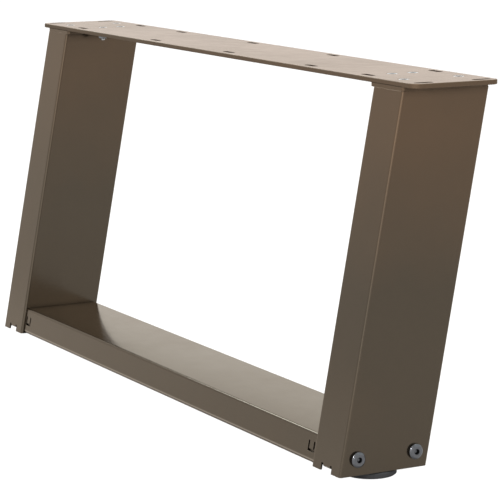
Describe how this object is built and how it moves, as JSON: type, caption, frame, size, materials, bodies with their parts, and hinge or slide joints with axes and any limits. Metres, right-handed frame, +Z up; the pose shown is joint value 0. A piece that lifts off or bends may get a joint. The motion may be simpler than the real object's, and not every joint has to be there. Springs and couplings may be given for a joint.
{
  "type": "u-shaped table leg",
  "caption": "Leaning U-shaped steel table leg: folded box posts, a bolted foot rail, a slotted plate for the table top and levelling feet under the posts.",
  "frame": {"origin": "centre of the top plate's upper face, where the table top lies", "axes": "+Z up, +X along the plate, and the posts lean so that the feet stand towards -Y"},
  "size_m": [0.896, 0.1741, 0.402],
  "materials": {
    "bronze_coat": "satin bronze-brown powder coat with a fine metallic fleck",
    "bright_steel": "bright zinc-plated steel",
    "dark_steel": "blackened blue-grey steel",
    "zinc_steel": "dull zinc-plated steel",
    "charcoal_plastic": "matt moulded plastic"
  },
  "bodies": {
    "leg": {"top_plate": "bronze_coat", "rail": "bronze_coat", "left_post_flange": "bronze_coat", "left_post": "bronze_coat", "left_rail_bracket": "bronze_coat", "left_outer_front_screw": "bright_steel", "left_outer_front_nut": "zinc_steel", "left_outer_back_screw": "bright_steel", "left_outer_back_nut": "zinc_steel", "left_inner_front_screw": "bright_steel", "left_inner_front_nut": "zinc_steel", "left_inner_back_screw": "bright_steel", "left_inner_back_nut": "zinc_steel", "left_front_rail_bolt": "dark_steel", "left_front_sleeve": "zinc_steel", "left_front_rail_nut": "zinc_steel", "left_back_rail_bolt": "dark_steel", "left_back_sleeve": "zinc_steel", "left_back_rail_nut": "zinc_steel", "left_foot_plate": "zinc_steel", "left_foot_nut": "zinc_steel", "right_post_flange": "bronze_coat", "right_post": "bronze_coat", "right_rail_bracket": "bronze_coat", "right_outer_front_screw": "bright_steel", "right_outer_front_nut": "zinc_steel", "right_outer_back_screw": "bright_steel", "right_outer_back_nut": "zinc_steel", "right_inner_front_screw": "bright_steel", "right_inner_front_nut": "zinc_steel", "right_inner_back_screw": "bright_steel", "right_inner_back_nut": "zinc_steel", "right_front_rail_bolt": "dark_steel", "right_front_sleeve": "zinc_steel", "right_front_rail_nut": "zinc_steel", "right_back_rail_bolt": "dark_steel", "right_back_sleeve": "zinc_steel", "right_back_rail_nut": "zinc_steel", "right_foot_plate": "zinc_steel", "right_foot_nut": "zinc_steel"},
    "left_pad": {"left_foot_pad": "charcoal_plastic"},
    "left_stem": {"left_foot_stem": "zinc_steel"},
    "right_pad": {"right_foot_pad": "charcoal_plastic"},
    "right_stem": {"right_foot_stem": "zinc_steel"}
  },
  "joints": [
    {"name": "left_pad_slide", "type": "slide", "parent": "leg", "child": "left_pad", "axis": [0, 0, -1], "range_m": [0, 0.015]},
    {"name": "left_stem_turn", "type": "hinge", "parent": "left_pad", "child": "left_stem", "pos_m": [-0.4, -0.07015, -0.4], "axis": [0, 0, -1], "range_deg": [0, 3600]},
    {"name": "right_pad_slide", "type": "slide", "parent": "leg", "child": "right_pad", "axis": [0, 0, -1], "range_m": [0, 0.015]},
    {"name": "right_stem_turn", "type": "hinge", "parent": "right_pad", "child": "right_stem", "pos_m": [0.4, -0.07015, -0.4], "axis": [0, 0, -1], "range_deg": [0, 3600]}
  ],
  "couplings": [
    {"joint": "left_stem_turn", "follows": "left_pad_slide", "rad_per_m": 4188.8},
    {"joint": "right_stem_turn", "follows": "right_pad_slide", "rad_per_m": 4188.8}
  ]
}
